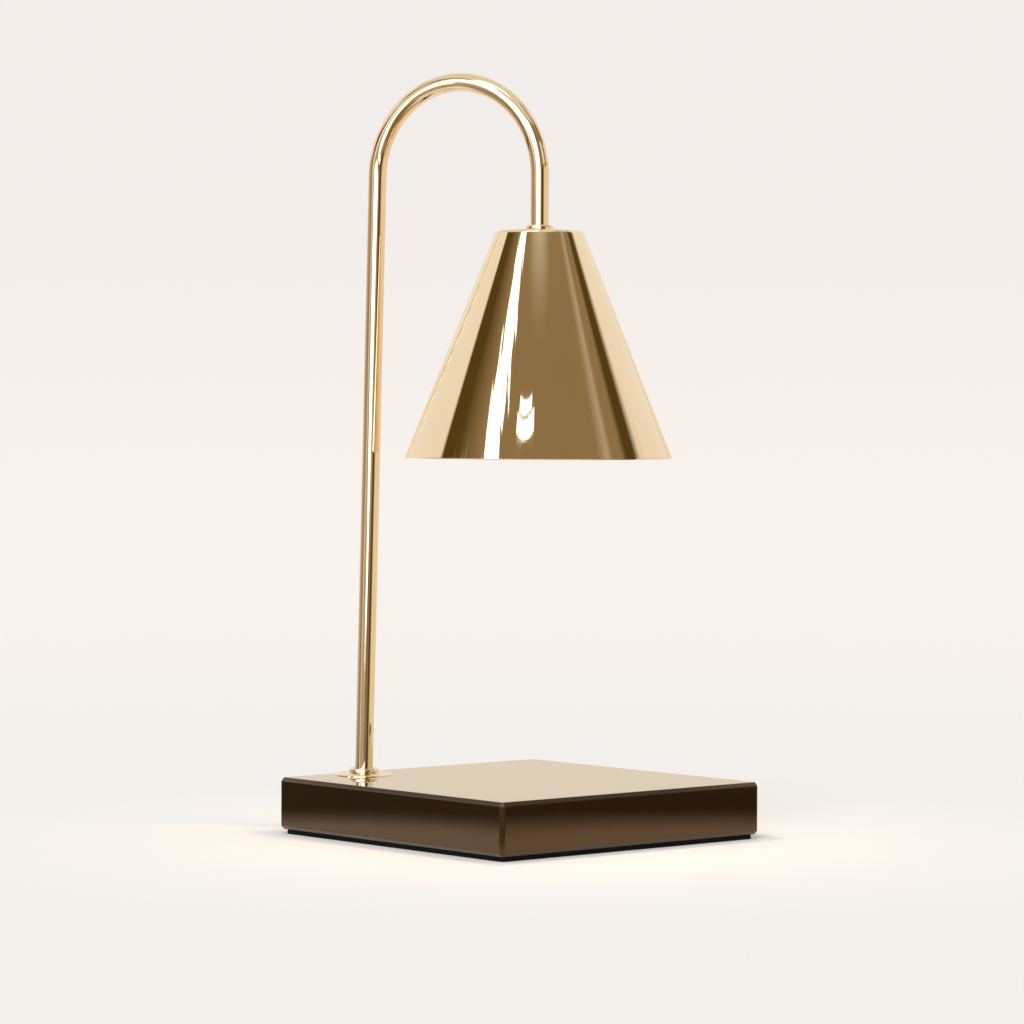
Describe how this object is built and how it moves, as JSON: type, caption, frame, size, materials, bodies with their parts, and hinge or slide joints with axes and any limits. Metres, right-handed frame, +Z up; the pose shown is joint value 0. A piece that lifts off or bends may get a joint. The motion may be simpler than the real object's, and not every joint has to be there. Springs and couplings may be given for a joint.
{
  "type": "candle warmer lamp",
  "caption": "Candle warmer lamp: a hooked polished tube turns on a square smoked-glass base and holds a conical shade with a reflector bulb over the candle.",
  "frame": {"origin": "middle of the underside of the base pad, on the surface that the lamp stands on", "axes": "+Z up, +X and +Y along the sides of the square base; the arm's foot is near the -X side and the arm points 19.5 degrees from +X towards +Y"},
  "size_m": [0.1554, 0.15, 0.3348],
  "materials": {
    "polished_gold": "mirror-polished pale gold plating",
    "smoked_glass": "polished dark brown smoked glass, nearly opaque",
    "pad_rubber": "matt black foam rubber",
    "bush_rubber": "satin black rubber",
    "red_fibre": "hard red fibre",
    "lead_sleeve": "white heat-proof sleeving",
    "zinc_steel": "zinc-plated steel",
    "white_ceramic": "unglazed steatite",
    "contact_brass": "sprung brass strip",
    "reflector_mirror": "aluminised glass reflector",
    "capsule_glass": "clear quartz capsule, lit warm white",
    "lens_glass": "clear cover glass",
    "ring_aluminium": "bright spun aluminium"
  },
  "bodies": {
    "base": {"base_pad": "pad_rubber", "base_block": "smoked_glass", "foot_flange": "polished_gold", "friction_washer": "red_fibre", "cable_bush": "bush_rubber", "base_lead": "lead_sleeve"},
    "arm": {"foot_fitting": "polished_gold", "foot_washer": "zinc_steel", "foot_spring_washer": "zinc_steel", "foot_nut": "zinc_steel", "arm_tube": "polished_gold", "arm_lead": "lead_sleeve", "top_fitting": "polished_gold", "shade": "polished_gold", "shade_washer": "zinc_steel", "shade_nut": "zinc_steel", "holder_bracket": "zinc_steel", "bracket_nut": "zinc_steel", "lamp_holder": "white_ceramic", "holder_contact_1": "contact_brass", "holder_contact_2": "contact_brass", "holder_screw_1": "zinc_steel", "holder_screw_2": "zinc_steel"},
    "bulb": {"bulb_base": "white_ceramic", "bulb_pin_1": "zinc_steel", "bulb_pin_2": "zinc_steel", "bulb_reflector": "reflector_mirror", "bulb_capsule": "capsule_glass", "bulb_front_glass": "lens_glass", "bulb_ring": "ring_aluminium"}
  },
  "joints": [
    {"name": "arm_swivel", "type": "hinge", "parent": "base", "child": "arm", "pos_m": [-0.0605, -0.0385, 0.025], "axis": [0, 0, 1], "range_deg": [-90, 90]},
    {"name": "bulb_twist", "type": "hinge", "parent": "arm", "child": "bulb", "pos_m": [0.02243, -0.00913, 0.2395], "axis": [0, 0, -1], "range_deg": [0, 30]}
  ]
}
